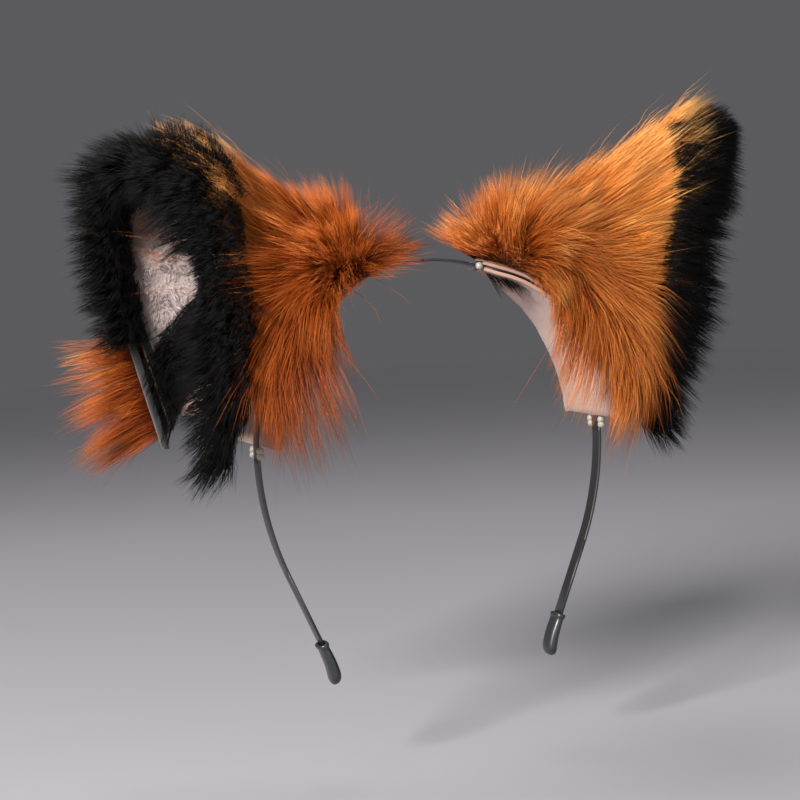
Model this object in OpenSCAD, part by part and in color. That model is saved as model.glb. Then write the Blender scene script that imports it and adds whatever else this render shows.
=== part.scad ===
// Animal ears headband: a spring-steel hoop with two faux-fur ears.
// X runs across the head, Y from front to back, Z up.
// The origin is the middle of the crown, on the face that rests on the head.

/* [Headband] */
// Radius of the hoop's inside over the crown
crown_r = 65.9; // [55:0.1:75]
// Width of the steel strip, front to back
strip_w = 6; // [4:0.5:12]
// Thickness of the steel strip
strip_t = 1; // [0.8:0.1:1.5]
// Radius of the leg's inward curve
leg_r = 110; // [80:5:160]
// Angle that the leg turns inwards below the widest point
leg_lean = 22.7; // [10:0.1:30]
// Straight length at the end of the leg
leg_straight = 40; // [30:1:50]
// Angle from the crown to the line where each side flexes
flex_angle = 16.5; // [10:0.5:17]
// Gap between the strip's lengths at the flex line
flex_gap = 0.3; // [0.2:0.05:0.5]

/* [End caps] */
// Length of the sleeve
cap_l = 16; // [14:0.5:20]
// How far the strip goes into the sleeve
cap_grip = 11.5; // [8:0.5:12]
// Wall of the sleeve
cap_wall = 0.85; // [0.6:0.05:1.2]
// Sideways turn of the sleeve's end
cap_turn = 1.6; // [0:0.1:3]

/* [Ears] */
// Angle from the crown to the ear's inner end
base_from = 18.5; // [18:0.5:24]
// Angle from the crown to the ear's outer end
base_to = 86; // [70:1:90]
// Half the width of the ear's opening
open_w = 29; // [22:1:34]
// Squareness of the opening's arch
arch_power = 5; // [2:0.5:7]
// Turn of the opening towards the front, at the base
base_twist = 8; // [0:1:20]
// Sideways place of the right ear's tip
right_tip_x = 122.5; // [90:0.5:130]
// Height of the right ear's tip
right_tip_z = 43.5; // [30:0.5:70]
// Bulge of the right ear's ridge above a straight line
right_bulge = 13; // [5:1:34]
// Hollow near the base of the right ear's ridge
right_hollow = 0; // [0:0.05:1]
// How far the right ear's lower edges stand out from the strip
right_flare = 8.5; // [2:1:25]
// Turn of the right ear's opening towards the front, at the tip
right_twist = 27; // [0:1:45]
// Sideways place of the left ear's tip
left_tip_x = 101.5; // [90:0.5:130]
// Height of the left ear's tip
left_tip_z = 39.5; // [30:0.5:70]
// Bulge of the left ear's ridge above a straight line
left_bulge = 18; // [5:1:34]
// Hollow near the base of the left ear's ridge
left_hollow = 0.7; // [0:0.05:1]
// How far the left ear's lower edges stand out from the strip
left_flare = 20; // [2:1:25]
// Turn of the left ear's opening towards the front, at the tip
left_twist = 36; // [0:1:45]

/* [Fabric] */
// Reach of the long pile from the back panel
back_pile = 15; // [8:1:20]
// Reach of the long pile at the ear's base
base_pile = 4; // [2:0.5:6]
// Half the width of the rim's furry edge
rim_half_w = 13; // [8:1:16]
// Half the thickness of the rim's furry edge
rim_half_t = 7.5; // [6:1:12]
// Length of the tuft below the rim's front end
rim_tuft = 17; // [8:1:22]
// Thickness of the plush lining
lining_t = 2.2; // [1:0.1:3]
// Thickness of the stiffening sheet
stiffener_t = 0.6; // [0.3:0.1:1]
// Thickness of a felt patch
felt_t = 1.2; // [0.8:0.1:2]
// Half the width of the felt on the head's side
felt_half_w = 25; // [16:1:28]
// Width of that felt at its narrow end
felt_end_w = 9; // [8:0.5:12]
// Length of one stitch
stitch_l = 3; // [2:0.5:5]
// Thickness of the sewing thread
thread_d = 0.5; // [0.3:0.1:0.8]
// Radius of a glue bead
glue_r = 1.4; // [1:0.1:2]

/* [Hidden] */

mid_r = crown_r + strip_t / 2;         // the strip's middle line over the crown
weld = 0.02;                           // overlap that makes the leg one solid
layer_gap = 0.1;                       // air between glued layers
ear_r = mid_r + strip_t / 2 + felt_t + 2 * layer_gap;  // where the ear's fabric starts
edge_phi = 82;                         // the layers end here, inside the rim's fur
seam_phi = 74;                         // the seam between the back and the rim
lining_start = 0.045;                  // the lining starts this far up, clear of the felt
stiffener_start = 0.01;                // the stiffener starts this far up
tip_end = 0.97;                        // the layers end here, under the rim's top
rear_end = 0.36;                       // the rim's fur ends here at the back
hollow_from = 0.15;                    // a hollow ridge starts to rise here
hollow_to = 0.7;                       // and has its whole bulge here
rows = 16;                             // steps from base to tip
cols = 20;                             // steps around the ear
rim_steps = 34;                        // steps along the rim
ring_n = 12;                           // points around the rim
felt_start = 11;                       // the outer felt starts this far around the ridge
felt_rows = 14;                        // steps along a felt patch
felt_cols = 4;                         // steps across a felt patch
cap_ring = 20;                         // points around an end cap

RIGHT = [right_tip_x, right_tip_z, right_flare, right_twist, right_bulge, right_hollow];
LEFT = [left_tip_x, left_tip_z, left_flare, left_twist, left_bulge, left_hollow];

function unit(v) = v / norm(v);
function mix(a, b, t) = a * (1 - t) + b * t;

// A point at an angle from the crown, at radius r, y to the back
function on_hoop(angle, y, r) = [r * sin(angle), y, r * cos(angle) - crown_r];

// The ear's surface. t runs from the base (0) to the tip (1).
// phi runs from the front edge (-90) over the ridge (0) to the back edge (90).
function dome(t) = sqrt(1 - t * t) - (1 - t);
function ease(t) = t * t * (3 - 2 * t);
function risen(t) = ease(max(0, min(1, (t - hollow_from) / (hollow_to - hollow_from))));
function bulge(ear, t) = ear[4] * dome(t) * (1 - ear[5] * (1 - risen(t)));
function back_way(ear, t) = let (a = mix(base_twist, ear[3], t)) [sin(a), cos(a), 0];
function edge_base(ear) = on_hoop(base_to, 0, ear_r) + [ear[2], 0, 0];
function edge_mid(ear, t) = mix(edge_base(ear), [ear[0], 0, ear[1]], t);
function ridge(ear, t) = mix(on_hoop(base_from, 0, ear_r), [ear[0], 0, ear[1]], t)
    + bulge(ear, t) * unit([-0.52, 0, 0.85]);
function half_open(t) = open_w * sqrt(1 - pow(t, arch_power));
function base_shift(ear, phi) =
    on_hoop(base_to - (base_to - base_from) * cos(phi), 0, ear_r) + [ear[2] * (1 - cos(phi)), 0, 0]
    - mix(edge_base(ear), on_hoop(base_from, 0, ear_r), cos(phi));
function skin(ear, t, phi) =
    mix(edge_mid(ear, t), ridge(ear, t), cos(phi))
    + back_way(ear, t) * half_open(t) * sin(phi)
    + base_shift(ear, phi) * (1 - t) * (1 - t);

// The outward direction of that surface
function skin_normal(ear, t, phi) =
    let (d = 0.01, a = 1,
         up = skin(ear, min(t + d, 0.995), phi) - skin(ear, max(t - d, 0), phi),
         across = skin(ear, t, phi + a) - skin(ear, t, phi - a))
    unit(cross(up, across));
function off_skin(ear, t, phi, gap) = skin(ear, t, phi) + gap * skin_normal(ear, t, phi);

// Steps from base to tip, closer together near the tip
function row_t(i) = let (u = i / rows) tip_end * (1 - (1 - u) * (1 - u));
function col_phi(j) = -edge_phi + 2 * edge_phi * j / cols;

// Reach of the long pile: short at the base and near the rim
function pile(t, phi) = base_pile
    + (back_pile - base_pile) * min(1, t / 0.16) * (0.35 + 0.65 * cos(phi));

// Two grids of points joined at their edges, as one closed sheet
module sheet(outer, inner) {
    nr = len(outer);
    nc = len(outer[0]);
    function at(side, i, j) = side * nr * nc + i * nc + j;
    points = [for (g = [outer, inner]) for (row = g) for (p = row) p];
    faces = [
        for (i = [0 : nr - 2]) for (j = [0 : nc - 2]) each [
            [at(0, i, j), at(0, i + 1, j + 1), at(0, i + 1, j)],
            [at(0, i, j), at(0, i, j + 1), at(0, i + 1, j + 1)],
            [at(1, i, j), at(1, i + 1, j), at(1, i + 1, j + 1)],
            [at(1, i, j), at(1, i + 1, j + 1), at(1, i, j + 1)]],
        for (i = [0 : nr - 2]) each [
            [at(0, i, 0), at(1, i + 1, 0), at(1, i, 0)],
            [at(0, i, 0), at(0, i + 1, 0), at(1, i + 1, 0)],
            [at(0, i, nc - 1), at(1, i, nc - 1), at(1, i + 1, nc - 1)],
            [at(0, i, nc - 1), at(1, i + 1, nc - 1), at(0, i + 1, nc - 1)]],
        for (j = [0 : nc - 2]) each [
            [at(0, 0, j), at(1, 0, j), at(1, 0, j + 1)],
            [at(0, 0, j), at(1, 0, j + 1), at(0, 0, j + 1)],
            [at(0, nr - 1, j), at(1, nr - 1, j + 1), at(1, nr - 1, j)],
            [at(0, nr - 1, j), at(0, nr - 1, j + 1), at(1, nr - 1, j + 1)]]];
    polyhedron(points, faces);
}

// Rings of points joined one after another, and closed at both ends by a point
module tube(rings, first, last) {
    nr = len(rings);
    n = len(rings[0]);
    points = [for (ring = rings) for (p = ring) p, first, last];
    faces = [
        for (i = [0 : nr - 2]) for (j = [0 : n - 1]) let (k = (j + 1) % n) each [
            [i * n + j, (i + 1) * n + k, (i + 1) * n + j],
            [i * n + j, i * n + k, (i + 1) * n + k]],
        for (j = [0 : n - 1]) let (k = (j + 1) % n) each [
            [nr * n, i_at(0, k, n), i_at(0, j, n)],
            [nr * n + 1, i_at(nr - 1, j, n), i_at(nr - 1, k, n)]]];
    polyhedron(points, faces);
}
function i_at(i, j, n) = i * n + j;

module on_left() { mirror([1, 0, 0]) children(); }

// A layer of the ear between two distances from its surface, from a share of its height up
module ear_layer(ear, from, to, start) {
    top = mix(start, 1, tip_end);
    function grid(gap) = [for (i = [0 : rows]) let (t = mix(start, 1, row_t(i)) * tip_end / top)
        [for (j = [0 : cols]) off_skin(ear, t, col_phi(j), gap)]];
    sheet(grid(to), grid(from));
}

module back_fur(ear) {
    gap = stiffener_t / 2 + layer_gap;
    sheet([for (i = [0 : rows]) [for (j = [0 : cols])
              off_skin(ear, row_t(i), col_phi(j), gap + pile(row_t(i), col_phi(j)))]],
          [for (i = [0 : rows]) [for (j = [0 : cols]) off_skin(ear, row_t(i), col_phi(j), gap)]]);
}

// The rim runs up the front edge, over the tip and part way down the back edge.
// s runs from -1 at the front base over 0 at the tip.
function rim_t(s) = 1 - s * s;
function rim_point(ear, s) = edge_mid(ear, rim_t(s))
    + back_way(ear, rim_t(s)) * half_open(rim_t(s)) * sign(s);
function rim_along(ear, s) = unit(rim_point(ear, min(s + 0.02, 1)) - rim_point(ear, max(s - 0.02, -1)));
function rim_out(ear, s) =
    unit(cross(back_way(ear, rim_t(s)), [ear[0], 0, ear[1]] - edge_base(ear)));
function rim_ring(ear, s, size, drop) =
    let (along = rim_along(ear, s), out = rim_out(ear, s), across = unit(cross(along, out)))
    [for (k = [0 : ring_n - 1]) let (a = 360 * k / ring_n)
        rim_point(ear, s) - along * drop
        + size * (rim_half_w * cos(a) * across + rim_half_t * sin(a) * unit(cross(across, along)))];

module rim_fur(ear) {
    rear_s = sqrt(1 - rear_end);
    tuft = [for (k = [1 : 5]) let (a = 90 - 18 * k) [rim_tuft * sin(a), cos(a)]];
    end = [for (k = [1 : 4]) let (a = 18 * k) [rim_half_t * sin(a), cos(a)]];
    tube([for (d = tuft) rim_ring(ear, -1, d[1], d[0]),
          for (k = [1 : rim_steps]) rim_ring(ear, mix(-1, rear_s, k / rim_steps), 1, 0),
          for (d = end) rim_ring(ear, rear_s, d[1], -d[0])],
         rim_point(ear, -1) - rim_along(ear, -1) * rim_tuft,
         rim_point(ear, rear_s) + rim_along(ear, rear_s) * rim_half_t);
}

// Stitches along the seam, each a short length of thread
module seam_stitches(ear) {
    for (side = [-1, 1]) for (i = [1 : 15]) {
        t = i / 17;
        here = off_skin(ear, t, side * seam_phi, 1);
        there = off_skin(ear, t + 0.02, side * seam_phi, 1);
        way = unit(there - here);
        translate(here) rotate([0, acos(way[2]), atan2(way[1], way[0])])
            cylinder(h = stitch_l, d = thread_d, $fn = 24);
    }
}

// The inner felt follows the hoop on the head's side, and narrows to the ear's inner end
module inner_felt() {
    r = crown_r - felt_t - layer_gap;
    function angle(i) = let (u = i / felt_rows) mix(base_to, base_from + 1.5, 1 - (1 - u) * (1 - u));
    function half(i) = max(felt_end_w / 2, felt_half_w
        * sqrt(1 - pow((base_to - angle(i)) / (base_to - base_from), 2)));
    function grid(r) = [for (i = [0 : felt_rows]) [for (j = [0 : felt_cols])
        on_hoop(angle(i), half(i) * (1 - 2 * j / felt_cols), r)]];
    sheet(grid(r + felt_t), grid(r));
}

// The outer felt closes the ear's base, from its front edge to its back edge
module outer_felt(ear) {
    function way(phi) =
        unit(on_hoop(base_to - (base_to - base_from) * cos(phi), 0, ear_r) + [0, 0, crown_r]);
    function grid(drop) = [for (i = [0 : felt_rows]) let (phi = mix(edge_phi, felt_start, i / felt_rows))
        [for (j = [0 : felt_cols])
            mix(skin(ear, 0, phi), skin(ear, 0, -phi), j / felt_cols) - drop * way(phi)]];
    sheet(grid(layer_gap), grid(layer_gap + felt_t));
}

// Beads of glue beside the strip, at the ends of the felt
module glue_beads() {
    for (angle = [base_from - 0.4, base_to + 1.4, base_to + 3]) for (side = [-1, 1])
        translate(on_hoop(angle, side * (strip_w / 2 + glue_r + 0.05), mid_r))
            sphere(r = glue_r, $fn = 24);
}

// A length of the hoop between two angles from the crown
module hoop(from, to) {
    translate([0, 0, -crown_r]) rotate([90, 0, 0]) rotate([0, 0, 90 - to])
        rotate_extrude(angle = to - from, $fn = 180)
            translate([mid_r, 0]) square([strip_t, strip_w], center = true);
}

// The place and direction of the leg's straight end
leg_centre = [mid_r - leg_r, 0, -crown_r];
leg_end = leg_centre + leg_r * [cos(leg_lean), 0, -sin(leg_lean)];
leg_way = [-sin(leg_lean), 0, -cos(leg_lean)];
leg_side = [cos(leg_lean), 0, -sin(leg_lean)];

module crown_strip() {
    color("#151515") hoop(-flex_angle + flex_gap / 2, flex_angle - flex_gap / 2);
}

module side_strip() {
    hoop(flex_angle + flex_gap / 2, 90);
    translate(leg_centre) rotate([90, 0, 0]) rotate([0, 0, -leg_lean])
        rotate_extrude(angle = leg_lean, $fn = 180)
            translate([leg_r, 0]) square([strip_t, strip_w], center = true);
    translate(leg_end) rotate([0, leg_lean, 0]) translate([-strip_t / 2, -strip_w / 2, -leg_straight])
        cube([strip_t, strip_w, leg_straight + weld]);
}

// One ring of the end cap, d from its mouth, with half sizes a and b
function cap_point(d, q, y) =
    leg_end + leg_way * (leg_straight - cap_grip + d)
    + leg_side * (q + cap_turn * pow(max(0, d - cap_grip / 2) / (cap_l - cap_grip / 2), 2)) + [0, y, 0];
function rounded(a, n) = sign(a) * pow(abs(a), 2 / n);
function cap_section(d, a, b, n) =
    [for (k = [0 : cap_ring - 1]) let (w = 360 * (k + 0.5) / cap_ring)
        cap_point(d, a * rounded(cos(w), n), b * rounded(sin(w), n))];

module end_cap() {
    slot_a = strip_t / 2 + 0.05;
    slot_b = strip_w / 2 + 0.05;
    out_a = slot_a + cap_wall + 0.55;
    out_b = slot_b + cap_wall;
    nose = out_b;
    tube([cap_slot(cap_grip + 0.2, slot_a, slot_b), cap_slot(0, slot_a, slot_b),
          cap_section(0, out_a * 1.12, out_b * 1.06, 3), cap_section(1, out_a * 1.12, out_b * 1.06, 3),
          cap_section(1.5, out_a * 0.95, out_b, 3),
          for (k = [1 : 6])
              cap_section(mix(1.5, cap_l - nose, k / 6), out_a * mix(0.95, 1.1, k / 6), out_b, 2.6),
          for (k = [1 : 4]) let (e = 20 * k)
              cap_section(cap_l - nose + nose * sin(e), out_a * 1.1 * cos(e), out_b * cos(e), 2.4)],
         cap_straight(cap_grip + 0.2, 0, 0), cap_point(cap_l, 0, 0));
}
// The slot follows the straight strip
function cap_straight(d, q, y) =
    leg_end + leg_way * (leg_straight - cap_grip + d) + leg_side * q + [0, y, 0];
function cap_slot(d, a, b) =
    [for (k = [0 : cap_ring - 1]) let (w = 360 * (k + 0.5) / cap_ring, f = max(abs(cos(w)), abs(sin(w))))
        cap_straight(d, a * cos(w) / f, b * sin(w) / f)];

module right_side_strip() { color("#151515") side_strip(); }
module left_side_strip() { color("#151515") on_left() side_strip(); }
module right_end_cap() { color("#0c0c0c") end_cap(); }
module left_end_cap() { color("#0c0c0c") on_left() end_cap(); }
module right_back_fur() { color("#b8651b") back_fur(RIGHT); }
module left_back_fur() { color("#b8651b") on_left() back_fur(LEFT); }
module right_rim_fur() { color("#101010") rim_fur(RIGHT); }
module left_rim_fur() { color("#101010") on_left() rim_fur(LEFT); }
module lining(ear) {
    face = -stiffener_t / 2 - layer_gap;
    ear_layer(ear, face - lining_t, face, lining_start);
}
module stiffener(ear) { ear_layer(ear, -stiffener_t / 2, stiffener_t / 2, stiffener_start); }
module right_inner_lining() { color("#c9aaa0") lining(RIGHT); }
module left_inner_lining() { color("#c9aaa0") on_left() lining(LEFT); }
module right_stiffener() { color("#e8e4da") stiffener(RIGHT); }
module left_stiffener() { color("#e8e4da") on_left() stiffener(LEFT); }
module right_seam_stitches() { color("#1c1c1c") seam_stitches(RIGHT); }
module left_seam_stitches() { color("#1c1c1c") on_left() seam_stitches(LEFT); }
module right_outer_felt() { color("#c99a86") outer_felt(RIGHT); }
module left_outer_felt() { color("#c99a86") on_left() outer_felt(LEFT); }
module right_inner_felt() { color("#c99a86") inner_felt(); }
module left_inner_felt() { color("#c99a86") on_left() inner_felt(); }
module right_glue_beads() { color("#e6e1d8") glue_beads(); }
module left_glue_beads() { color("#e6e1d8") on_left() glue_beads(); }

crown_strip();
right_side_strip();
left_side_strip();
right_end_cap();
left_end_cap();
right_back_fur();
left_back_fur();
right_rim_fur();
left_rim_fur();
right_inner_lining();
left_inner_lining();
right_stiffener();
left_stiffener();
right_seam_stitches();
left_seam_stitches();
right_outer_felt();
left_outer_felt();
right_inner_felt();
left_inner_felt();
right_glue_beads();
left_glue_beads();
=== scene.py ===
import bmesh
import bpy
import numpy as np
from mathutils import Matrix, Vector, noise
from mathutils.kdtree import KDTree


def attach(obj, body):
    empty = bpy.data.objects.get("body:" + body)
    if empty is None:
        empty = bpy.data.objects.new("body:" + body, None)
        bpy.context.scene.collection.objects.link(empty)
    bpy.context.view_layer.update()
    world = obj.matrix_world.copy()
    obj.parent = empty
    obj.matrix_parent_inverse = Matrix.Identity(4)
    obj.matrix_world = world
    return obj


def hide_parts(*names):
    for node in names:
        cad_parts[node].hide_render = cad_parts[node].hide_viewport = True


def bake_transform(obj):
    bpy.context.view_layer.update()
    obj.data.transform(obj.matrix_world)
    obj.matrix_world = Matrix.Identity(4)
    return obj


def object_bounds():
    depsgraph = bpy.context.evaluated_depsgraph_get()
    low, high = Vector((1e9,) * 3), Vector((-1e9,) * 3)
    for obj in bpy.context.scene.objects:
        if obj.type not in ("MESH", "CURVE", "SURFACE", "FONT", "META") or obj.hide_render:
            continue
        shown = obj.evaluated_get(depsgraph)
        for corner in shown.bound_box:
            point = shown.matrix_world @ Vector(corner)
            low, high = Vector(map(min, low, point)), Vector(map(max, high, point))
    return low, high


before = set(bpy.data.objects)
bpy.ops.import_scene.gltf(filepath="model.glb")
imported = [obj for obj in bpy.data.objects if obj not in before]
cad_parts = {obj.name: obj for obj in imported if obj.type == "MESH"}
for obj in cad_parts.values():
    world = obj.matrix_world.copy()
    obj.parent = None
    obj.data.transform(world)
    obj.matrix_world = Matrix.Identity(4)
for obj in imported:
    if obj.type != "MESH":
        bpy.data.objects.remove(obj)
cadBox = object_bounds()
scene = bpy.context.scene

hoop = {  # the steel strip, in metres and degrees
    "crownRadius": 0.0659,
    "width": 0.006,
    "thickness": 0.001,
    "edgeRound": 0.0003,
    "legRadius": 0.110,
    "legLean": 22.7,
    "legStraight": 0.040,
    "crownSteps": 60,
    "legSteps": 24,
    "bendFrom": 12.0,
    "bendTo": 20.5,
}
earCut = {  # what both ears share
    "baseFrom": 18.5,
    "baseTo": 86.0,
    "openWidth": 0.029,
    "hollow": (0.15, 0.7),
    "archPower": 5,
    "baseTwist": 8.0,
    "baseRadius": 0.0683,
    "blackEnd": 0.38,
}
rim = {  # the black band, in millimetres, from the front base (-1) over the tip (0) to the back base (1)
    "place": (-1.0, -0.85, -0.74, -0.67, -0.57, -0.48, -0.3, 0.0, 0.35, 0.6, 1.0),
    "outer": (12.0, 12.0, 12.0, 12.0, 13.0, 14.0, 17.0, 18.0, 15.0, 13.0, 12.0),
    "inner": (24.0, 22.0, 16.0, 2.0, 1.0, 14.0, 16.0, 19.0, 12.0, 9.0, 5.0),
    "pile": (17.0, 16.0, 14.0, 12.0, 12.0, 12.0, 10.5, 8.5, 11.5, 14.0, 14.0),
}
ears = {  # how each ear was set
    # tone lifts the right ear's orange pile as painted light and lowers the left ear's as painted shade
    "right": {"side": 1, "tip": (0.1225, 0.0435), "flare": 0.0085, "twist": 27.0, "bulge": 0.013, "hollow": 0.0,
              "comb": 1.0, "short": 0.001, "fringe": 2.5, "crest": 0.0, "foot": 0.5,
              "tone": 0.10, "trim": 0.1, "hug": 0.05, "stand": 0.9, "droop": 0.0, "seed": 11},
    "left": {"side": -1, "tip": (0.1015, 0.0395), "flare": 0.020, "twist": 36.0, "bulge": 0.018, "hollow": 0.7,
             "comb": 0.8, "short": 0.008, "fringe": 0.0, "crest": 6.0, "foot": 0.7,
             "tone": -0.27, "trim": 0.55, "hug": 0.26, "stand": 0.45, "droop": 1.0, "seed": 23},
}


# small helpers
def mix(a, b, t):
    return a * (1 - t) + b * t


def unit(v):
    return v / np.maximum(np.linalg.norm(v, axis=-1, keepdims=True), 1e-12)


def dot(a, b):
    return np.sum(a * b, axis=-1, keepdims=True)


def smoothStep(low, high, x):
    t = np.clip((x - low) / (high - low), 0, 1)
    return t * t * (3 - 2 * t)


def newPiece(name, mesh, material, slot):
    piece = bpy.data.objects.new(name, mesh)
    scene.collection.objects.link(piece)
    mesh.materials.append(material)
    return piece


def meshFrom(bm, name, smooth=True):
    mesh = bpy.data.meshes.new(name)
    bm.to_mesh(mesh)
    bm.free()
    if smooth:
        mesh.shade_smooth()
    return mesh


# the shape of an ear
def onHoop(angle, radius):
    a = np.radians(angle)
    return np.stack([radius * np.sin(a), 0 * a, radius * np.cos(a) - hoop["crownRadius"]], -1)


def rawSkin(ear, t, phi):
    t, phi = np.broadcast_arrays(np.asarray(t, float), np.asarray(phi, float))
    c, s = np.cos(np.radians(phi))[..., None], np.sin(np.radians(phi))[..., None]
    tt = t[..., None]
    flare = np.array([ear["flare"], 0, 0])
    inner = onHoop(earCut["baseFrom"], earCut["baseRadius"])
    outer = onHoop(earCut["baseTo"], earCut["baseRadius"]) + flare
    tip = np.array([ear["tip"][0], 0, ear["tip"][1]])
    dome = np.sqrt(np.maximum(0, 1 - tt * tt)) - (1 - tt)
    rise = ear["bulge"] * dome * (1 - ear["hollow"] * (1 - smoothStep(*earCut["hollow"], tt)))
    ridge = mix(inner, tip, tt) + rise * unit(np.array([-0.52, 0, 0.85]))
    twist = np.radians(mix(earCut["baseTwist"], ear["twist"], t))
    back = np.stack([np.sin(twist), np.cos(twist), 0 * twist], -1)
    halfOpen = earCut["openWidth"] * np.sqrt(np.maximum(0, 1 - tt ** earCut["archPower"]))
    angle = earCut["baseTo"] - (earCut["baseTo"] - earCut["baseFrom"]) * c[..., 0]
    shift = onHoop(angle, earCut["baseRadius"]) + flare * (1 - c) - mix(outer, inner, c)
    return mix(mix(outer, tip, tt), ridge, c) + back * halfOpen * s + shift * (1 - tt) ** 2


def earSkin(ear, t, phi):  # points, outward normals and the way to the tip
    t, phi = np.broadcast_arrays(np.asarray(t, float), np.asarray(phi, float))
    up = rawSkin(ear, np.minimum(t + 0.01, 0.995), phi) - rawSkin(ear, np.maximum(t - 0.01, 0), phi)
    across = rawSkin(ear, t, phi + 1) - rawSkin(ear, t, phi - 1)
    flip = np.array([ear["side"], 1, 1])
    return rawSkin(ear, t, phi) * flip, unit(np.cross(up, across)) * flip, unit(up) * flip


def rimFrame(ear, s):  # the opening's edge, from the front base (-1) over the tip (0) to the back base (1)
    s = np.asarray(s, float)
    inside = np.clip(s, -1, 1)

    def edge(q):
        return rawSkin(ear, 1 - q * q, np.where(q < 0, -90.0, 90.0))

    along = unit(edge(np.minimum(inside + 0.02, 1)) - edge(np.maximum(inside - 0.02, -1)))
    tip = np.array([ear["tip"][0], 0, ear["tip"][1]])
    outer = onHoop(earCut["baseTo"], earCut["baseRadius"]) + np.array([ear["flare"], 0, 0])
    twist = np.radians(mix(earCut["baseTwist"], ear["twist"], 1 - inside * inside))
    out = unit(np.cross(np.stack([np.sin(twist), np.cos(twist), 0 * twist], -1), tip - outer))
    across = unit(np.cross(out, along))
    beyond = (s - inside)[..., None] * 0.1
    flip = np.array([ear["side"], 1, 1])
    return (edge(inside) + along * beyond) * flip, along * flip, out * flip, across * flip


def nearestOf(points, queries):
    tree = KDTree(len(points))
    for index, p in enumerate(points):
        tree.insert(Vector(p), index)
    tree.balance()
    found = [tree.find(Vector(p)) for p in queries]
    return np.array([f[1] for f in found]), np.array([f[2] for f in found])


def edgeDistance(ear, point):  # how far a point is from the opening's edge, and where along it
    places = np.linspace(-1, 1, 320)
    edge = rimFrame(ear, places)[0]
    which, gap = nearestOf(edge, point)
    return gap, places[which], edge[which]


def alongRim(s, key):
    return np.interp(s, rim["place"], rim[key]) / 1000


def blackOutside(ear, s):  # how far the black reaches over the ear's outside
    return alongRim(s, "outer") * mix(ear["foot"], 1, smoothStep(-0.92, -0.75, s))


# shader expressions
class Socket:
    def __init__(self, tree, link):
        self.tree, self.link = tree, link

    def node(self, kind, settings=None, **inputs):
        made = self.tree.nodes.new(kind)
        for key, value in (settings or {}).items():
            if key == "stops":
                for element in list(made.color_ramp.elements)[1:]:
                    made.color_ramp.elements.remove(element)
                for index, (place, colour) in enumerate(value):
                    stop = made.color_ramp.elements[0] if index == 0 else made.color_ramp.elements.new(place)
                    stop.position, stop.color = place, (*colour, 1) if len(colour) == 3 else colour
            else:
                setattr(made, key, value)
        for key, value in inputs.items():
            index = int(key[1:]) if key[0] == "i" and key[1:].isdigit() else key.replace("_", " ")
            target = made.inputs[index]
            if isinstance(value, Socket):
                self.tree.links.new(value.link, target)
            else:
                target.default_value = value
        return made

    def get(self, kind, settings=None, output=0, **inputs):
        return Socket(self.tree, self.node(kind, settings, **inputs).outputs[output])

    def maths(self, operation, a, b=None, clamp=False):
        inputs = {"i0": a} if b is None else {"i0": a, "i1": b}
        return self.get("ShaderNodeMath", {"operation": operation, "use_clamp": clamp}, **inputs)

    def __add__(self, other):
        return self.maths("ADD", self, other)

    def __radd__(self, other):
        return self.maths("ADD", other, self)

    def __sub__(self, other):
        return self.maths("SUBTRACT", self, other)

    def __rsub__(self, other):
        return self.maths("SUBTRACT", other, self)

    def __mul__(self, other):
        return self.maths("MULTIPLY", self, other)

    def __rmul__(self, other):
        return self.maths("MULTIPLY", other, self)

    def power(self, other):
        return self.maths("POWER", self, other)

    def clamped(self):
        return self.maths("ADD", self, 0.0, clamp=True)

    def ramp(self, *stops):
        return self.get("ShaderNodeValToRGB", {"stops": stops}, i0=self)

    def between(self, a, b):  # a where this is 0, b where it is 1
        return self.get("ShaderNodeMix", {"data_type": "RGBA"}, output=2, i0=self, i6=a, i7=b)


def newMaterial(name, **constants):
    material = bpy.data.materials.new(name)
    material.use_nodes = True
    tree = material.node_tree
    shader = tree.nodes["Principled BSDF"]
    for key, value in constants.items():
        shader.inputs[key.replace("_", " ")].default_value = value
    return material, shader, Socket(tree, None)


def objectPlace(start):
    return start.get("ShaderNodeTexCoord", output=3)


def noiseOn(place, scale, detail=4.0, roughness=0.55):
    return place.get("ShaderNodeTexNoise", Vector=place, Scale=scale, Detail=detail, Roughness=roughness)


def addBump(start, shader, height, strength, distance):
    bump = start.get("ShaderNodeBump", Strength=strength, Distance=distance, Height=height)
    start.tree.links.new(bump.link, shader.inputs["Normal"])


def feed(start, shader, **links):
    for key, value in links.items():
        start.tree.links.new(value.link, shader.inputs[key.replace("_", " ")])


def furMaterial(name, dark, light, tipShade, sheen, roughness=0.55, specular=0.35):
    # u is the strand's tone, which on the orange pile also carries painted light and painted shade, v runs from its
    # root to its tip
    material, shader, start = newMaterial(
        name, Specular_IOR_Level=specular, Sheen_Weight=sheen, Sheen_Roughness=0.4
    )
    strand = start.get("ShaderNodeUVMap", {"uv_map": "OFBake"})
    parts = strand.node("ShaderNodeSeparateXYZ", i0=strand)
    tone, along = Socket(start.tree, parts.outputs[0]), Socket(start.tree, parts.outputs[1])
    body = tone.between(along.ramp(*dark), along.ramp(*light))
    speck = noiseOn(strand, 60.0, 2.0) * 0.5 + 0.25
    shade = along.get("ShaderNodeMapRange", output=0, i0=speck, i1=0.3, i2=0.7, i3=0.8, i4=1.15)
    colour = shade.get("ShaderNodeMix", {"data_type": "RGBA", "blend_type": "MULTIPLY"}, output=2,
                       i0=1.0, i6=body, i7=shade)
    if tipShade:
        pale = (along.power(3.0) * tipShade[0] * tone.power(1.5)).clamped()
        colour = pale.between(colour, (*tipShade[1], 1))
    feed(start, shader, Base_Color=colour, Roughness=speck * 0.25 + (roughness - 0.12))
    return material


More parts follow.
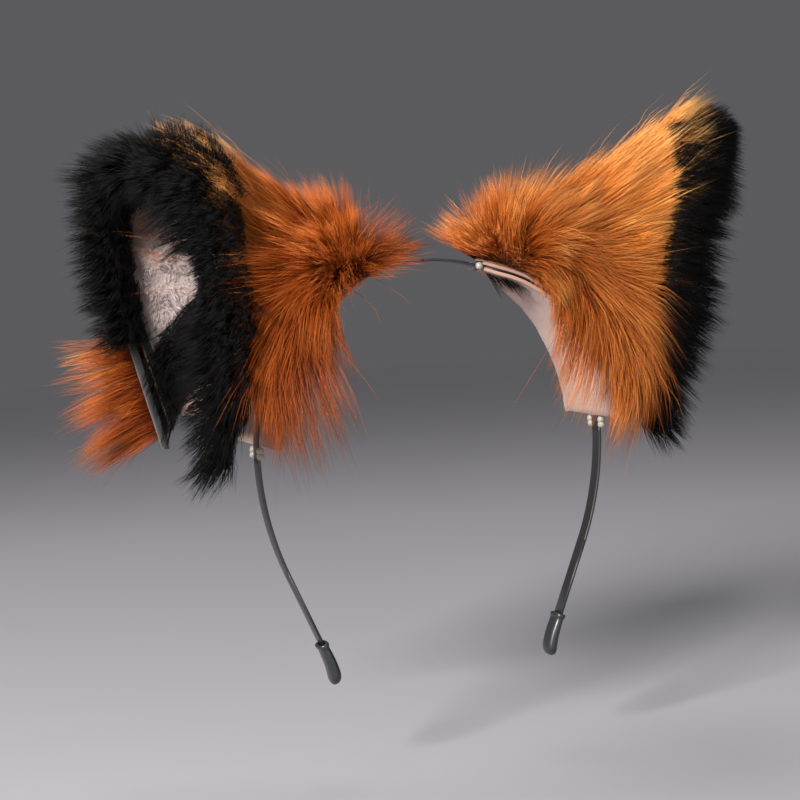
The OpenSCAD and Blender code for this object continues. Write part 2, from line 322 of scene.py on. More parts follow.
orangeFur = furMaterial(
    "orangePile",
    dark=((0.0, (0.04, 0.005, 0.001)), (0.35, (0.17, 0.023, 0.0015)), (1.0, (0.44, 0.095, 0.007))),
    light=((0.0, (0.28, 0.045, 0.004)), (0.4, (0.88, 0.245, 0.020)), (1.0, (1.0, 0.50, 0.110))),
    tipShade=(0.8, (1.0, 0.70, 0.32)),
    sheen=0.0,
    specular=0.18,
)
blackFur = furMaterial(
    "blackPile",
    dark=((0.0, (0.0010, 0.0009, 0.0009)), (1.0, (0.0022, 0.0020, 0.0021))),
    light=((0.0, (0.0018, 0.0016, 0.0017)), (0.93, (0.006, 0.0055, 0.006)), (1.0, (0.03, 0.028, 0.030))),
    tipShade=None,
    sheen=0.0,
    specular=0.09,
)
plushFur = furMaterial(
    "plushPile",
    dark=((0.0, (0.22, 0.165, 0.155)), (1.0, (0.36, 0.29, 0.28))),
    light=((0.0, (0.30, 0.24, 0.23)), (1.0, (0.48, 0.41, 0.40))),
    tipShade=None,
    sheen=0.2,
    roughness=0.8,
)


def clothMaterial(name, colour, second, threads, strength=0.5):
    material, shader, start = newMaterial(name, Specular_IOR_Level=0.2, Sheen_Weight=0.25, Sheen_Roughness=0.6)
    place = objectPlace(start)
    blotch = noiseOn(place, 90.0, 5.0)
    fibre = noiseOn(place, threads, 8.0, 0.75)
    feed(start, shader, Base_Color=(blotch * 0.5 + fibre * 0.5).between((*colour, 1), (*second, 1)),
         Roughness=fibre * 0.2 + 0.75)
    addBump(start, shader, fibre * 0.7 + blotch * 0.3, strength, 0.0006)
    return material


orangeBacking = clothMaterial("orangeBacking", (0.085, 0.020, 0.005), (0.24, 0.07, 0.014), 1400.0)
blackBacking = clothMaterial("blackBacking", (0.003, 0.003, 0.003), (0.012, 0.011, 0.011), 1400.0)
plushBacking = clothMaterial("plushBacking", (0.20, 0.15, 0.14), (0.32, 0.26, 0.245), 1100.0)
# the felt's own brown, made darker as painted shade
feltCloth = clothMaterial("skinFelt", (0.21, 0.105, 0.075), (0.34, 0.19, 0.14), 1800.0, 0.7)
interlining = clothMaterial("interlining", (0.62, 0.60, 0.55), (0.80, 0.78, 0.73), 700.0)


def paintMaterial():
    material, shader, start = newMaterial(
        "stripPaint", Specular_IOR_Level=0.45, Coat_Roughness=0.3, Coat_Weight=0.25
    )
    place = objectPlace(start)
    speckle = noiseOn(place, 900.0, 3.0)
    scuff = noiseOn(place, 160.0, 6.0, 0.7)
    worn = scuff.get("ShaderNodeMapRange", i0=scuff, i1=0.62, i2=0.78, i3=0.0, i4=1.0)
    feed(start, shader, Base_Color=worn.between((0.010, 0.010, 0.011, 1), (0.045, 0.045, 0.048, 1)),
         Roughness=0.34 + speckle * 0.16 + worn * 0.12)
    addBump(start, shader, speckle, 0.12, 0.0002)
    return material


def vinylMaterial():
    material, shader, start = newMaterial("capVinyl", Specular_IOR_Level=0.5, Coat_Weight=0.15, Coat_Roughness=0.2)
    place = objectPlace(start)
    dust = noiseOn(place, 500.0, 5.0, 0.7)
    cloud = noiseOn(place, 120.0, 3.0)
    feed(start, shader, Base_Color=(dust * 0.6 + cloud * 0.4).between((0.006, 0.006, 0.007, 1), (0.022, 0.022, 0.024, 1)),
         Roughness=0.26 + cloud * 0.2)
    addBump(start, shader, dust * 0.6 + cloud * 0.4, 0.15, 0.0003)
    return material


def glueMaterial():
    material, shader, start = newMaterial(
        "hotGlue", Specular_IOR_Level=0.5, Transmission_Weight=0.35, Subsurface_Weight=0.3, Subsurface_Scale=0.002
    )
    place = objectPlace(start)
    cloud = noiseOn(place, 300.0, 3.0)
    feed(start, shader, Base_Color=cloud.between((0.30, 0.27, 0.23, 1), (0.46, 0.43, 0.38, 1)),
         Roughness=0.18 + cloud * 0.25)
    addBump(start, shader, cloud, 0.3, 0.0005)
    return material


def threadMaterial():
    material, shader, start = newMaterial("sewingThread", Specular_IOR_Level=0.3, Sheen_Weight=0.2)
    place = objectPlace(start)
    ply = place.get("ShaderNodeTexWave", {"bands_direction": "DIAGONAL"}, Vector=place, Scale=1500.0, Distortion=2.0)
    feed(start, shader, Base_Color=ply.between((0.010, 0.010, 0.010, 1), (0.05, 0.048, 0.046, 1)),
         Roughness=0.6 + ply * 0.2)
    addBump(start, shader, ply, 0.5, 0.0002)
    return material


paint, vinyl, glue, thread = paintMaterial(), vinylMaterial(), glueMaterial(), threadMaterial()
print("materials made")


# the camera, the floor and the lights
shot = {
    "azimuth": -21.0,
    "distance": 0.750,
    "height": -0.005,
    "roll": 3.5,
    "look": (0.0, -0.0664),
    "focal": 2060 / 800,
    "sensor": 36.0,
    "turn": 32 / 2060,
    "down": 125 / 2060,
}


def placeCamera():
    a, turn, down = np.radians(shot["azimuth"]), np.arctan(shot["turn"]), np.arctan(shot["down"])
    right, ahead, up = Vector((np.cos(a), np.sin(a), 0)), Vector((-np.sin(a), np.cos(a), 0)), Vector((0, 0, 1))
    right, ahead = right * np.cos(turn) + ahead * np.sin(turn), ahead * np.cos(turn) - right * np.sin(turn)
    ahead, up = ahead * np.cos(down) - up * np.sin(down), up * np.cos(down) + ahead * np.sin(down)
    eye = Vector((shot["distance"] * np.sin(a), -shot["distance"] * np.cos(a), shot["height"]))
    pivot = Vector((0, 0, shot["look"][1]))
    level = Matrix.Translation(eye) @ Matrix((right, up, -ahead)).transposed().to_4x4()
    lean = Matrix.Translation(pivot) @ Matrix.Rotation(np.radians(shot["roll"]), 4, "Y") @ Matrix.Translation(-pivot)
    data = bpy.data.cameras.new("camera")
    data.sensor_width, data.lens = shot["sensor"], shot["sensor"] * shot["focal"]
    data.clip_start, data.clip_end = 0.01, 50
    camera = bpy.data.objects.new("camera", data)
    scene.collection.objects.link(camera)
    camera.matrix_world = lean @ level
    scene.camera = camera


def makeFloor(level, size=3.0, fade=(0.7, 2.4)):
    bm = bmesh.new()
    bmesh.ops.create_circle(bm, cap_ends=True, segments=96, radius=size)
    bmesh.ops.translate(bm, vec=(0, 0, level), verts=bm.verts)
    material, shader, start = newMaterial("paleFloor", Roughness=0.9, Specular_IOR_Level=0.2)
    place = objectPlace(start)
    mottle = noiseOn(place, 3.0, 4.0)
    feed(start, shader, Base_Color=mottle.between((0.27, 0.265, 0.29, 1), (0.30, 0.295, 0.32, 1)))
    far = place.get("ShaderNodeVectorMath", {"operation": "LENGTH"}, output=1, i0=place)
    seen = far.get("ShaderNodeMapRange", i0=far, i1=fade[0], i2=fade[1], i3=1.0, i4=0.0)
    feed(start, shader, Alpha=seen)
    floor = bpy.data.objects.new("floor", meshFrom(bm, "floor", smooth=False))
    scene.collection.objects.link(floor)
    floor.data.materials.append(material)


def addLight(name, place, aim, size, power, colour=(1, 1, 1)):
    data = bpy.data.lights.new(name, "AREA")
    data.shape, data.size, data.energy, data.color = "DISK", size, power, colour
    light = bpy.data.objects.new(name, data)
    scene.collection.objects.link(light)
    light.location = place
    light.rotation_euler = (Vector(aim) - Vector(place)).to_track_quat("-Z", "Y").to_euler()


placeCamera()
makeFloor(cadBox[0].z - 0.035)
addLight("key", (-1.25, -0.90, 0.68), (0, 0, -0.02), 0.50, 82.0, (1.0, 0.98, 0.95))
addLight("fill", (0.2, -1.3, 0.15), (0, 0, -0.03), 1.0, 6.0, (0.98, 0.98, 1.0))
addLight("top", (0.05, 0.40, 1.1), (0, 0, 0.0), 0.6, 6.0)
world = bpy.data.worlds.new("studio")
scene.world = world
world.use_nodes = True
world.node_tree.nodes["Background"].inputs[0].default_value = (0.62, 0.61, 0.65, 1)
world.node_tree.nodes["Background"].inputs[1].default_value = 0.17
scene.view_settings.view_transform = "Standard"
print("camera, floor and lights placed")


# the steel strip
def makeStrip(side):
    middle = hoop["crownRadius"] + hoop["thickness"] / 2
    bm = bmesh.new()
    bmesh.ops.create_grid(bm, x_segments=1, y_segments=1, size=0.5)
    bmesh.ops.scale(bm, vec=(hoop["thickness"], hoop["width"], 1), verts=bm.verts)
    bmesh.ops.bevel(bm, geom=list(bm.verts), offset=hoop["edgeRound"], offset_type="OFFSET", segments=3,
                    profile=0.5, affect="VERTICES", material=-1)
    bmesh.ops.rotate(bm, cent=(0, 0, 0), matrix=Matrix.Rotation(np.radians(-90), 3, "Y"), verts=bm.verts)
    bmesh.ops.translate(bm, vec=(0, 0, middle - hoop["crownRadius"]), verts=bm.verts)
    start = list(bm.faces)

    def sweep(faces, centre, angle, steps):
        made = bmesh.ops.spin(bm, geom=faces, cent=centre, axis=(0, 1, 0), dvec=(0, 0, 0),
                              angle=np.radians(angle), steps=steps, use_merge=False, use_duplicate=False)
        return [g for g in made["geom_last"] if isinstance(g, bmesh.types.BMFace)]

    last = sweep(start, (0, 0, -hoop["crownRadius"]), 90, hoop["crownSteps"])
    last = sweep(last, (middle - hoop["legRadius"], 0, -hoop["crownRadius"]), hoop["legLean"], hoop["legSteps"])
    lean = np.radians(hoop["legLean"])
    made = bmesh.ops.extrude_face_region(bm, geom=last)
    ends = [g for g in made["geom"] if isinstance(g, bmesh.types.BMVert)]
    bmesh.ops.translate(bm, verts=ends, vec=Vector((-np.sin(lean), 0, -np.cos(lean))) * hoop["legStraight"])
    if side < 0:
        bmesh.ops.scale(bm, vec=(-1, 1, 1), verts=bm.verts)
    bmesh.ops.remove_doubles(bm, verts=bm.verts, dist=1e-6)
    bmesh.ops.recalc_face_normals(bm, faces=bm.faces)
    return meshFrom(bm, "strip")


for name, ear in ears.items():
    strip = newPiece(f"{name}_spring_strip", makeStrip(ear["side"]), paint, "strip_paint")
    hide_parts(f"{name}_side_strip", "crown_strip")
    flip = Vector((ear["side"], 1, 1))
    bend = [Vector(onHoop(hoop[key], hoop["crownRadius"])) * flip for key in ("bendFrom", "bendTo")]
    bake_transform(strip)
print("strip made")


# the end caps
cap = {"length": 0.016, "grip": 0.0115, "halfThick": 0.00195, "halfWide": 0.0039, "turn": 0.0016, "rings": 14}


def makeCap(side):
    lean = np.radians(hoop["legLean"])
    middle = hoop["crownRadius"] + hoop["thickness"] / 2
    way = Vector((-np.sin(lean), 0, -np.cos(lean)))
    sideways = Vector((np.cos(lean), 0, -np.sin(lean)))
    centre = Vector((middle - hoop["legRadius"], 0, -hoop["crownRadius"]))
    mouth = centre + hoop["legRadius"] * Vector((np.cos(lean), 0, -np.sin(lean))) + way * (hoop["legStraight"] - cap["grip"])
    # (distance along the cap, share of the half thickness, share of the half width)
    profile = [(0.0030, 0.34, 0.80), (0.0002, 0.36, 0.82), (-0.0001, 0.62, 0.90), (0.0000, 1.02, 1.00),
               (0.0005, 1.16, 1.07), (0.0012, 1.12, 1.05), (0.0018, 0.95, 0.98), (0.0026, 0.92, 0.97)]
    body = cap["length"] - 0.0030
    profile += [(d, 0.94 + 0.22 * (d / body) ** 1.5, 0.98 + 0.03 * d / body) for d in np.linspace(0.004, body, 6)]
    profile += [(body + 0.0030 * np.sin(a), 1.16 * np.cos(a) ** 0.8, 1.01 * np.cos(a) ** 0.8)
                for a in np.radians((25, 45, 62, 76))]
    bm = bmesh.new()
    made = bmesh.ops.create_circle(bm, cap_ends=True, segments=28, radius=1)
    ring = made["verts"]
    flat = {v: v.co.copy() for v in ring}

    def shape(verts, rule, d, thick, wide):
        past = max(0.0, d - cap["grip"] / 2) / (cap["length"] - cap["grip"] / 2)
        for v in verts:
            x, y = rule[v].x, rule[v].y
            r = (abs(x) ** 2.7 + abs(y) ** 2.7) ** (-1 / 2.7)
            v.co = (mouth + way * d + sideways * (x * r * thick * cap["halfThick"] + cap["turn"] * past ** 2)
                    + Vector((0, y * r * wide * cap["halfWide"], 0)))

    shape(ring, flat, *profile[0])
    for step in profile[1:]:
        edges = [e for e in bm.edges if all(v in flat for v in e.verts)]
        made = bmesh.ops.extrude_edge_only(bm, edges=edges)
        fresh = [g for g in made["geom"] if isinstance(g, bmesh.types.BMVert)]
        byPlace = {tuple(np.round(v.co, 9)): flat[v] for v in flat}
        flat = {v: byPlace[tuple(np.round(v.co, 9))] for v in fresh}
        shape(fresh, flat, *step)
    edges = [e for e in bm.edges if all(v in flat for v in e.verts)]
    bmesh.ops.contextual_create(bm, geom=edges)
    if side < 0:
        bmesh.ops.scale(bm, vec=(-1, 1, 1), verts=bm.verts)
    bmesh.ops.recalc_face_normals(bm, faces=bm.faces)
    return meshFrom(bm, "endCap")


for name, ear in ears.items():
    piece = newPiece(f"{name}_vinyl_cap", makeCap(ear["side"]), vinyl, "cap_rubber")
    smooth = piece.modifiers.new("smooth", "SUBSURF")
    smooth.levels = smooth.render_levels = 2
    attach(piece, f"{name}_side")
    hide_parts(f"{name}_end_cap")
print("end caps made")


# the sewn cloth under the pile
def makeSheet(place, steps, thickness, keep=None):
    # place(u, v) gives the sheet's middle surface and its outward normal, keep(points) the faces that stay
    bm = bmesh.new()
    bmesh.ops.create_grid(bm, x_segments=steps[0], y_segments=steps[1], size=0.5)
    point, normal = place(np.array([v.co.x + 0.5 for v in bm.verts]), np.array([v.co.y + 0.5 for v in bm.verts]))
    for v, p in zip(bm.verts, point):
        v.co = Vector(p)
    bm.normal_update()
    facing = sum(v.normal.dot(Vector(n)) for v, n in zip(bm.verts, normal))
    if facing < 0:
        bmesh.ops.reverse_faces(bm, faces=bm.faces)
    if keep:
        stays = keep(np.array([f.calc_center_median() for f in bm.faces]))
        bmesh.ops.delete(bm, geom=[f for f, stay in zip(bm.faces, stays) if not stay], context="FACES")
    bmesh.ops.solidify(bm, geom=list(bm.faces), thickness=thickness)
    return meshFrom(bm, "cloth")


def earSheet(ear, depth, bumps=0.0):
    def place(u, v):
        point, normal, _ = earSkin(ear, 0.975 * (1 - (1 - v) ** 2), 172 * u - 86)
        rough = np.array([noise.noise(Vector(p) * 160) for p in point]) * bumps
        return point + normal * (depth + rough)[:, None], normal

    return place


black = {"pieces": 2, "strands": 18500, "thickness": 0.00010, "outside": 0.41, "edge": 0.26, "floor": 0.28,
         "locks": 90, "wisps": 1500, "pull": 0.5, "sway": 0.10, "uneven": 0.10, "stray": 0.01}


def inBlack(ear, points):
    gap, s, _ = edgeDistance(ear, points)
    return (gap < blackOutside(ear, s)) & (s < np.sqrt(1 - earCut["blackEnd"]))


def inPlush(ear, points):
    gap, s, _ = edgeDistance(ear, points)
    t, phi = [a.ravel() for a in np.meshgrid(np.linspace(0, 1, 50), np.linspace(-90, 90, 60), indexing="ij")]
    height = t[nearestOf(earSkin(ear, t, phi)[0], points)[0]]
    return (gap > alongRim(s, "inner") * 0.85) & (height > black["floor"])


def edgeWrap(ear, s, turn):  # round the edge, from the ear's outside (turn 0) to its inside (turn pi)
    point, along, out, across = rimFrame(ear, s)
    normal = across * np.cos(turn)[:, None] + out * np.sin(turn)[:, None]
    return point - across * 0.0008 + normal * 0.0020, normal, along


def makeEdgeCloth(ear, start, end):
    def place(u, v):
        return edgeWrap(ear, mix(start, end, v), np.pi * u)[:2]

    return makeSheet(place, (10, 80), 0.0006)


for name, ear in ears.items():
    body = f"{name}_side"
    sheets = (
        ("back_panel", makeSheet(earSheet(ear, 0.001), (48, 40), 0.001, lambda p: ~inBlack(ear, p)), orangeBacking,
         "orange_fur", "back_fur"),
        ("black_panel", makeSheet(earSheet(ear, 0.001), (48, 40), 0.001, lambda p: inBlack(ear, p)), blackBacking,
         "black_fur", "rim_fur"),
        ("edge_panel", makeEdgeCloth(ear, -1.03, np.sqrt(1 - earCut["blackEnd"])), blackBacking,
         "black_fur", "rim_fur"),
        # the rear edge gets a black sheet as a painted shadow line beside the orange pile
        ("rear_edge_panel", makeEdgeCloth(ear, np.sqrt(1 - earCut["blackEnd"]), 1.01), blackBacking,
         "black_fur", "rim_fur"),
        ("plush_panel", makeSheet(earSheet(ear, -0.0015, 0.0006), (48, 40), 0.0018, lambda p: inPlush(ear, p)),
         plushBacking, "plush_lining", "inner_lining"),
        # below the floor height the inside is a black sheet, and along the rear edge this black stands as painted
        # shadow
        ("inner_black_panel", makeSheet(earSheet(ear, -0.0015, 0.0006), (48, 40), 0.0018, lambda p: ~inPlush(ear, p)),
         blackBacking, "black_fur", "inner_lining"),
    )
    for kind, mesh, material, slot, node in sheets:
        panel = newPiece(f"{name}_{kind}", mesh, material, slot)
        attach(panel, body)
        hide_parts(f"{name}_{node}")
print("cloth made")


# the felt that closes the ear's base and lies on the head's side of the strip
felt = {"thickness": 0.0012, "halfWide": 0.025, "narrow": 0.0045, "headRadius": 0.0652, "waver": 0.0005}


def feltPlace(point, normal):
    drift = np.array([noise.noise_vector(Vector(p) * 110) for p in point]) * felt["waver"]
    return point + drift, normal


def headFelt(ear):
    def place(u, v):
        angle = mix(earCut["baseTo"], earCut["baseFrom"] + 1.5, 1 - (1 - v) ** 2)
        share = (earCut["baseTo"] - angle) / (earCut["baseTo"] - earCut["baseFrom"])
        half = np.maximum(felt["narrow"], felt["halfWide"] * np.sqrt(np.maximum(0, 1 - share ** 2)))
        flip = np.array([ear["side"], 1, 1])
        point = onHoop(angle, felt["headRadius"])
        point[:, 1] = half * (1 - 2 * u)
        return feltPlace(point * flip, -onHoop(angle, 1.0) * flip)

    return makeSheet(place, (26, 44), felt["thickness"])


def baseFelt(ear):
    def place(u, v):
        phi = mix(82.0, 11.0, v)
        flip = np.array([ear["side"], 1, 1])
        angle = earCut["baseTo"] - (earCut["baseTo"] - earCut["baseFrom"]) * np.cos(np.radians(phi))
        way = unit(onHoop(angle, earCut["baseRadius"]) + np.array([0, 0, hoop["crownRadius"]]))
        point = mix(rawSkin(ear, 0, phi), rawSkin(ear, 0, -phi), u[:, None])
        return feltPlace((point - way * (0.0001 + felt["thickness"] / 2)) * flip, -way * flip)

    return makeSheet(place, (26, 44), felt["thickness"])


for name, ear in ears.items():
    for kind, mesh in (("inner_felt", headFelt(ear)), ("outer_felt", baseFelt(ear))):
        patch = newPiece(f"{name}_{kind}_patch", mesh, feltCloth, "felt")
        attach(patch, f"{name}_side")
        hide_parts(f"{name}_{kind}")
print("felt made")


# one strand, and how it is repeated
def makeStrand(rings):
    # rings: (share of the length, share of the thickness); the last ring closes to a point
    bm = bmesh.new()
    made = bmesh.ops.create_circle(bm, cap_ends=True, segments=3, radius=1)
    edges, size = list(bm.edges), 1.0
    for place, thick in rings:
        made = bmesh.ops.extrude_edge_only(bm, edges=edges)
        verts = [g for g in made["geom"] if isinstance(g, bmesh.types.BMVert)]
        edges = [g for g in made["geom"] if isinstance(g, bmesh.types.BMEdge) and all(v in verts for v in g.verts)]
        for v in verts:
            v.co.z = place
            v.co.x, v.co.y = v.co.x * thick / size, v.co.y * thick / size
        size = thick
    bmesh.ops.pointmerge(bm, verts=verts, merge_co=(0, 0, rings[-1][0]))
    bmesh.ops.recalc_face_normals(bm, faces=bm.faces)
    bmesh.ops.triangulate(bm, faces=bm.faces)
    bm.verts.ensure_lookup_table()
    bm.verts.index_update()
    points = np.array([v.co for v in bm.verts])
    faces = np.array([[v.index for v in f.verts] for f in bm.faces])
    bm.free()
    return points, faces


longStrand = makeStrand(((0.3, 0.92), (0.66, 0.62), (1.0, 0.1)))
shortStrand = makeStrand(((0.5, 0.8), (1.0, 0.1)))
plushStrand = makeStrand(((1.0, 0.1),))
pileSpan = ((0.1290, 0.0080), (0.0435, 0.0085))  # along X and Y: where the pile is brushed in, and what it gains there


def plantStrands(name, strand, path, thickness, tone, material, slot):
    # path(z) gives every strand's middle line at a share z of its length
    points, faces = strand
    count = len(tone)
    levels, which = np.unique(np.round(points[:, 2], 4), return_inverse=True)
    lines = np.stack([path(z) for z in levels], 1)
    for axis, (start, gain) in enumerate(pileSpan):
        wide = np.maximum(np.abs(lines[..., axis]) - start, 0)
        lines[..., axis] -= np.sign(lines[..., axis]) * (wide - gain * np.tanh(wide / gain))
    lead = unit(lines[:, 1] - lines[:, 0])
    aside = unit(np.cross(lead, np.array([0.31, 0.83, 0.47])))
    third = np.cross(lead, aside)
    spin = (tone * 977.0) % 1 * 2 * np.pi
    first = aside * np.cos(spin)[:, None] + third * np.sin(spin)[:, None]
    second = np.cross(lead, first)
    place = (lines[:, which] + thickness[:, None, None]
             * (points[None, :, 0, None] * first[:, None] + points[None, :, 1, None] * second[:, None]))
    mesh = bpy.data.meshes.new(name)
    mesh.vertices.add(count * len(points))
    mesh.vertices.foreach_set("co", place.astype(np.float32).ravel())
    corners = (faces[None] + (np.arange(count) * len(points))[:, None, None]).astype(np.int32)
    mesh.loops.add(corners.size)
    mesh.loops.foreach_set("vertex_index", corners.ravel())
    mesh.polygons.add(count * len(faces))
    mesh.polygons.foreach_set("loop_start", np.arange(0, corners.size, 3, dtype=np.int32))
    mesh.update(calc_edges=True)
    mesh.polygons.foreach_set("use_smooth", np.ones(count * len(faces), bool))
    across = (np.arctan2(points[:, 1], points[:, 0]) / np.pi + 1) / 2
    u = 0.01 + 0.97 * tone[:, None] + 0.008 * across[None]
    v = np.broadcast_to(0.01 + 0.98 * points[:, 2][None], u.shape)
    uv = np.stack([u, v], -1)[:, faces].reshape(-1, 2)
    mesh.uv_layers.new(name="OFBake").data.foreach_set("uv", uv.astype(np.float32).ravel())
    mesh.validate()
    return newPiece(name, mesh, material, slot)


def clumpPaths(rng, root, lead, fall, length, style):
    # strands near one another lean the same way, and draw together towards their tips
    count = len(root)
    heads = [rng.choice(count, style[key], replace=False) for key in ("locks", "wisps")]
    lock, wisp = [h[nearestOf(root[h], root)[0]] for h in heads]
    level = rng.normal(size=(count, 4))
    stray = rng.random(count) < style["stray"]
    reach = 1 + style["uneven"] * (0.6 * level[lock, 0] + 0.7 * level[wisp, 0] + 0.8 * level[:, 0]) + 0.2 * stray
    sway = style["sway"] * (level[lock, 1:] + 0.8 * level[wisp, 1:] + (0.5 + 2.0 * stray)[:, None] * level[:, 1:])
    lead, fall = unit(lead + sway), unit(fall + 0.8 * sway)
    size = (length * np.clip(reach, 0.5, 1.4))[:, None]
    held = style["pull"] * (0.5 + 0.5 * rng.random(count)) * ~stray
    wave = 0.02 * rng.normal(size=(count, 3)) * size

    def line(z, index):
        bend = 0.55 * z
        return root[index] + size[index] * z * (lead[index] * (1 - bend) + fall[index] * bend)

    def path(z):
        own = line(z, np.arange(count))
        together = line(z, wisp) + (root - root[wisp]) * (1 - 0.85 * z)
        return mix(own, together, held[:, None] * z ** 1.5) + wave * np.sin(3.0 * z)

    return path, wisp


def scatter(rng, ear, count, weight, span):
    # roots spread evenly over the ear's surface, more where weight(t, phi) is high
    rows, cols = 90, 120
    (t0, t1), (p0, p1) = span
    tc = t0 + (t1 - t0) * (np.arange(rows) + 0.5) / rows
    pc = p0 + (p1 - p0) * (np.arange(cols) + 0.5) / cols
    t, phi = [a.ravel() for a in np.meshgrid(tc, pc, indexing="ij")]
    dt, dp = (t1 - t0) / rows, (p1 - p0) / cols
    area = np.linalg.norm(np.cross(rawSkin(ear, np.minimum(t + dt / 2, 1), phi) - rawSkin(ear, t - dt / 2, phi),
                                   rawSkin(ear, t, phi + dp / 2) - rawSkin(ear, t, phi - dp / 2)), axis=-1)
    chance = area * weight(t, phi)
    cell = rng.choice(len(t), count, p=chance / chance.sum())
    return (np.clip(t[cell] + dt * (rng.random(count) - 0.5), t0, t1), phi[cell] + dp * (rng.random(count) - 0.5))


# the long orange pile: guard hairs over a shorter undercoat
orange = {
    "heart": 31.0,
    "guard": {"pieces": 2, "strands": 11800, "length": 0.032, "thickness": 0.000085, "strand": longStrand,
              "locks": 40, "wisps": 380, "pull": 0.55, "sway": 0.085, "uneven": 0.13, "stray": 0.03},
    "undercoat": {"pieces": 1, "strands": 18500, "length": 0.019, "thickness": 0.000095, "strand": shortStrand,
                  "locks": 40, "wisps": 700, "pull": 0.35, "sway": 0.07, "uneven": 0.12, "stray": 0.0},
}


def makeOrangePile(name, ear, kind, part):
    style = orange[kind]
    rng = np.random.default_rng(ear["seed"] + part + 7 * len(kind))
    rearEnd = np.sqrt(1 - earCut["blackEnd"])

    def weight(t, phi):
        gap, s, _ = edgeDistance(ear, earSkin(ear, t, phi)[0])
        clear = smoothStep(0.0, 0.003, gap - blackOutside(ear, s))
        return np.where(s > rearEnd, 1.0, clear) * (1 + 0.7 * smoothStep(0.25, 0.0, t))

    t, phi = scatter(rng, ear, style["strands"], weight, ((0.0, 0.97), (-88.0, 88.0)))
    root, normal, up = earSkin(ear, t, phi)
    gap, s, edge = edgeDistance(ear, root)
    flip = np.array([ear["side"], 1, 1])
    heart = onHoop(orange["heart"], earCut["baseRadius"] * 0.97) * flip
    away = root - heart
    far = np.linalg.norm(away, axis=1)
    flow = unit(away - dot(away, normal) * normal) + 0.25 * up
    flow = unit(flow)
    toEdge = unit(edge - root)
    near = (smoothStep(0.036, 0.020, gap) * smoothStep(0.3, 0.0, s))[:, None]
    flow = unit(flow - toEdge * dot(flow, toEdge).clip(0) * (1 - ear["comb"]) * near)
    base = smoothStep(0.24, 0.0, t)[:, None]
    crown = smoothStep(0.028, 0.010, far)[:, None]
    hang = base * (1 - crown) * smoothStep(90.0, 76.0, np.abs(phi))[:, None] * np.where(phi > 0, 0.3, 1.0)[:, None]
    side = smoothStep(40.0 - 15 * ear["droop"], 75.0 - 15 * ear["droop"], np.abs(phi))[:, None]
    inward = -unit(root * np.array([1, 0, 1]) + np.array([0, 0, hoop["crownRadius"]]))
    lift = 0.17 + 0.08 * base + 0.55 * crown + 0.2 * base * side
    sunk = np.array([0, 0, -1.0]) * hang * side
    flow = flow * (1 - ear["stand"] * crown)
    lead = unit(flow * (1 - 0.75 * hang) + normal * lift * 1.5 + inward * hang * (0.6 - 0.35 * ear["droop"])
                + sunk * (0.35 + 0.4 * ear["droop"]))
    fall = unit(flow * (1 - 0.95 * hang) + normal * (0.15 * base + 0.5 * crown - ear["hug"] * (1 - base) * (1 - crown))
                + inward * hang * (1.2 - 0.2 * side - 0.6 * ear["droop"]) + sunk * (1.1 + 0.5 * ear["droop"])
                + np.array([0, 0, -0.06]))
    length = style["length"] * (1 - 0.32 * crown[:, 0] + 0.35 * (hang * side)[:, 0])
    length = length * (1 - ear["trim"] * smoothStep(0.55, 0.9, t))
    short = np.where(s < 0, ear["short"], 0.006) * (1 + 1.4 * smoothStep(0.6, 0.85, t))
    reach = (gap - short * rng.uniform(-0.3, 1.3, len(t))) / dot(unit(lead + fall), toEdge)[:, 0].clip(0.35)
    length = np.where(s > rearEnd, length, np.minimum(length, np.maximum(reach, 0.007)))
    path, wisp = clumpPaths(rng, root + normal * 0.0008, lead, fall, length, style)
    blotch = np.array([noise.noise(Vector(p) * 45) for p in root])
    own = rng.normal(size=len(t))
    # tone: the ear's tone entry (painted light on the right ear, painted shade on the left), darker towards the ear's
    # base as painted shade and lighter higher up as painted light, plus random tone per strand, clump and patch
    tone = np.clip(ear["tone"] - 0.05 + 0.85 * smoothStep(0.0, 0.60, t) + 0.10 * own[wisp] + 0.14 * own + 0.15 * blotch,
                   0, 1)
    thickness = style["thickness"] * (0.7 + 0.6 * rng.random(len(t)))
    return plantStrands(f"{name}_orange_{kind}_{part + 1}", style["strand"], path, thickness, tone, orangeFur,
                        "orange_fur")


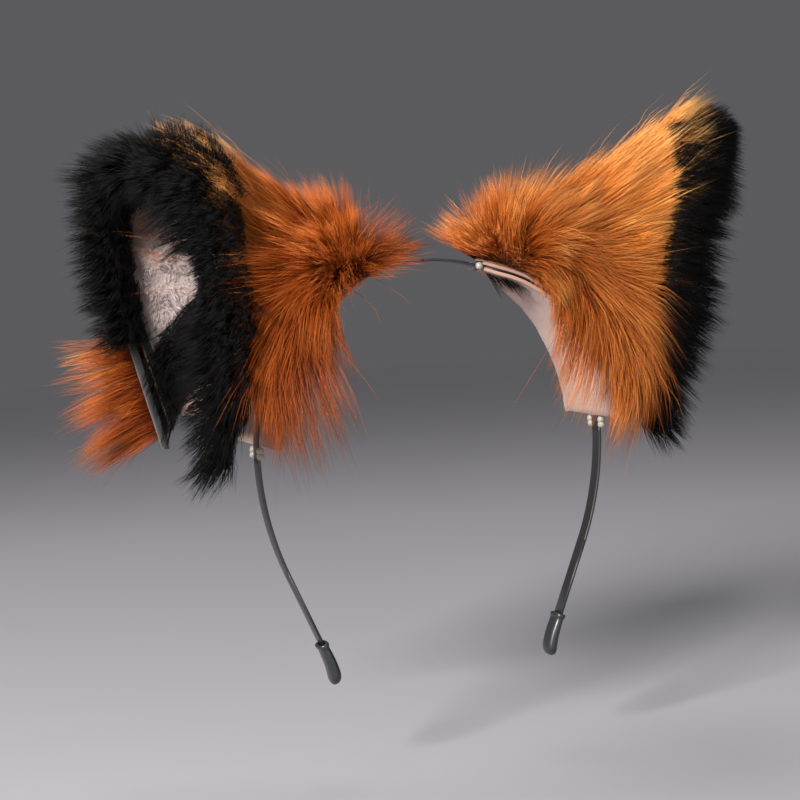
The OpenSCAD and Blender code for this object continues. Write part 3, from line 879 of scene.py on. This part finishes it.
# the black pile around the opening
def makeBlackPile(name, ear, part):
    rng = np.random.default_rng(ear["seed"] + 50 + part)
    count = black["strands"]
    rearEnd = np.sqrt(1 - earCut["blackEnd"])
    shares = (int(count * black["outside"]), int(count * black["edge"]))
    groups = []
    for side, number in ((1, shares[0]), (-1, count - sum(shares))):
        def weight(t, phi):
            gap, s, _ = edgeDistance(ear, earSkin(ear, t, phi)[0])
            width = blackOutside(ear, s) if side > 0 else alongRim(s, "inner")
            # inside, the black pile also covers the ear's floor below the floor height, and where this reaches the rear
            # edge it darkens it as painted shadow
            return ((gap < width) * (s < rearEnd) | (t < black["floor"]) * (side < 0)) * 1.0

        t, phi = scatter(rng, ear, number, weight, ((0.0, 0.995), (-89.5, 89.5)))
        point, normal, _ = earSkin(ear, t, phi)
        gap, s, edge = edgeDistance(ear, point)
        away = unit(edge - point)
        groups.append((point + normal * (0.0012 if side > 0 else -0.0026), normal * side, away, s, gap))
    places = np.linspace(-1.03, rearEnd, 400)
    steps = np.linalg.norm(np.diff(rimFrame(ear, places)[0], axis=0), axis=1)
    s = np.interp(rng.random(shares[1]), np.append(0, np.cumsum(steps)) / steps.sum(), places)
    point, normal, _ = edgeWrap(ear, s, np.pi * rng.random(shares[1]))
    groups.append((point, normal, rimFrame(ear, s)[2], s, 0 * s))
    root, normal, toEdge, s, gap = [np.concatenate(part) for part in zip(*groups)]
    inside = (np.arange(count) >= shares[0]) & (np.arange(count) < count - shares[1])
    _, along, out, across = rimFrame(ear, s)
    down = along * np.where(s < 0, -1.0, 1.0)[:, None]
    low = smoothStep(0.8, 1.0, np.abs(s))[:, None]
    lead = unit(normal + toEdge * 0.45 + down * 0.25 * low)
    fall = unit(normal * 0.75 + toEdge * 0.55 + out * 0.2 + down * (0.25 + 0.9 * low) + np.array([0, 0, -0.1]))
    extra = ear["fringe"] * smoothStep(-0.2, -0.45, s) * smoothStep(-0.95, -0.75, s)
    extra = extra + ear["crest"] * smoothStep(0.6, 0.3, np.abs(s + 0.1))
    window = (smoothStep(-0.72, -0.67, s) * smoothStep(-0.49, -0.55, s)) * (dot(normal, across)[:, 0] < 0.2)
    length = (alongRim(s, "pile") + extra / 1000) * np.where(inside, 0.75, 1.0) * (1 - 0.55 * window)
    path, wisp = clumpPaths(rng, root, lead, fall, length, black)
    own = rng.normal(size=count)
    tone = np.clip(0.3 + 0.12 * own[wisp] + 0.18 * own, 0, 0.9)
    tone = np.where(rng.random(count) < 0.006, 0.99, tone)
    thickness = black["thickness"] * (0.7 + 0.6 * rng.random(count))
    return plantStrands(f"{name}_black_pile_{part + 1}", shortStrand, path, thickness, tone, blackFur, "black_fur")


# the short plush inside
plush = {"strands": 15000, "length": 0.0040, "thickness": 0.00013,
         "locks": 60, "wisps": 900, "pull": 0.3, "sway": 0.12, "uneven": 0.10, "stray": 0.0}


def makePlushPile(name, ear):
    rng = np.random.default_rng(ear["seed"] + 90)

    def weight(t, phi):
        gap, s, _ = edgeDistance(ear, earSkin(ear, t, phi)[0])
        return (gap > alongRim(s, "inner") * 0.8) * (t > black["floor"] - 0.02) * 1.0

    t, phi = scatter(rng, ear, plush["strands"], weight, ((0.02, 0.95), (-86.0, 86.0)))
    root, normal, up = earSkin(ear, t, phi)
    lead, fall = unit(-normal + up * 0.5), unit(-normal * 0.6 + up)
    path, wisp = clumpPaths(rng, root - normal * 0.0024, lead, fall, np.full(len(t), plush["length"]), plush)
    own = rng.normal(size=len(t))
    tone = np.clip(0.5 + 0.12 * own[wisp] + 0.15 * own, 0, 1)
    thickness = plush["thickness"] * (0.8 + 0.4 * rng.random(len(t)))
    return plantStrands(f"{name}_plush_pile", plushStrand, path, thickness, tone, plushFur, "plush_lining")


for name, ear in ears.items():
    body = f"{name}_side"
    for kind in ("guard", "undercoat"):
        for part in range(orange[kind]["pieces"]):
            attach(makeOrangePile(name, ear, kind, part), body)
    for part in range(black["pieces"]):
        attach(makeBlackPile(name, ear, part), body)
    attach(makePlushPile(name, ear), body)
print("pile made")

for node, material in (("stiffener", interlining), ("seam_stitches", thread), ("glue_beads", glue)):
    for name in ears:
        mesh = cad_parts[f"{name}_{node}"].data
        mesh.materials.clear()
        mesh.materials.append(material)
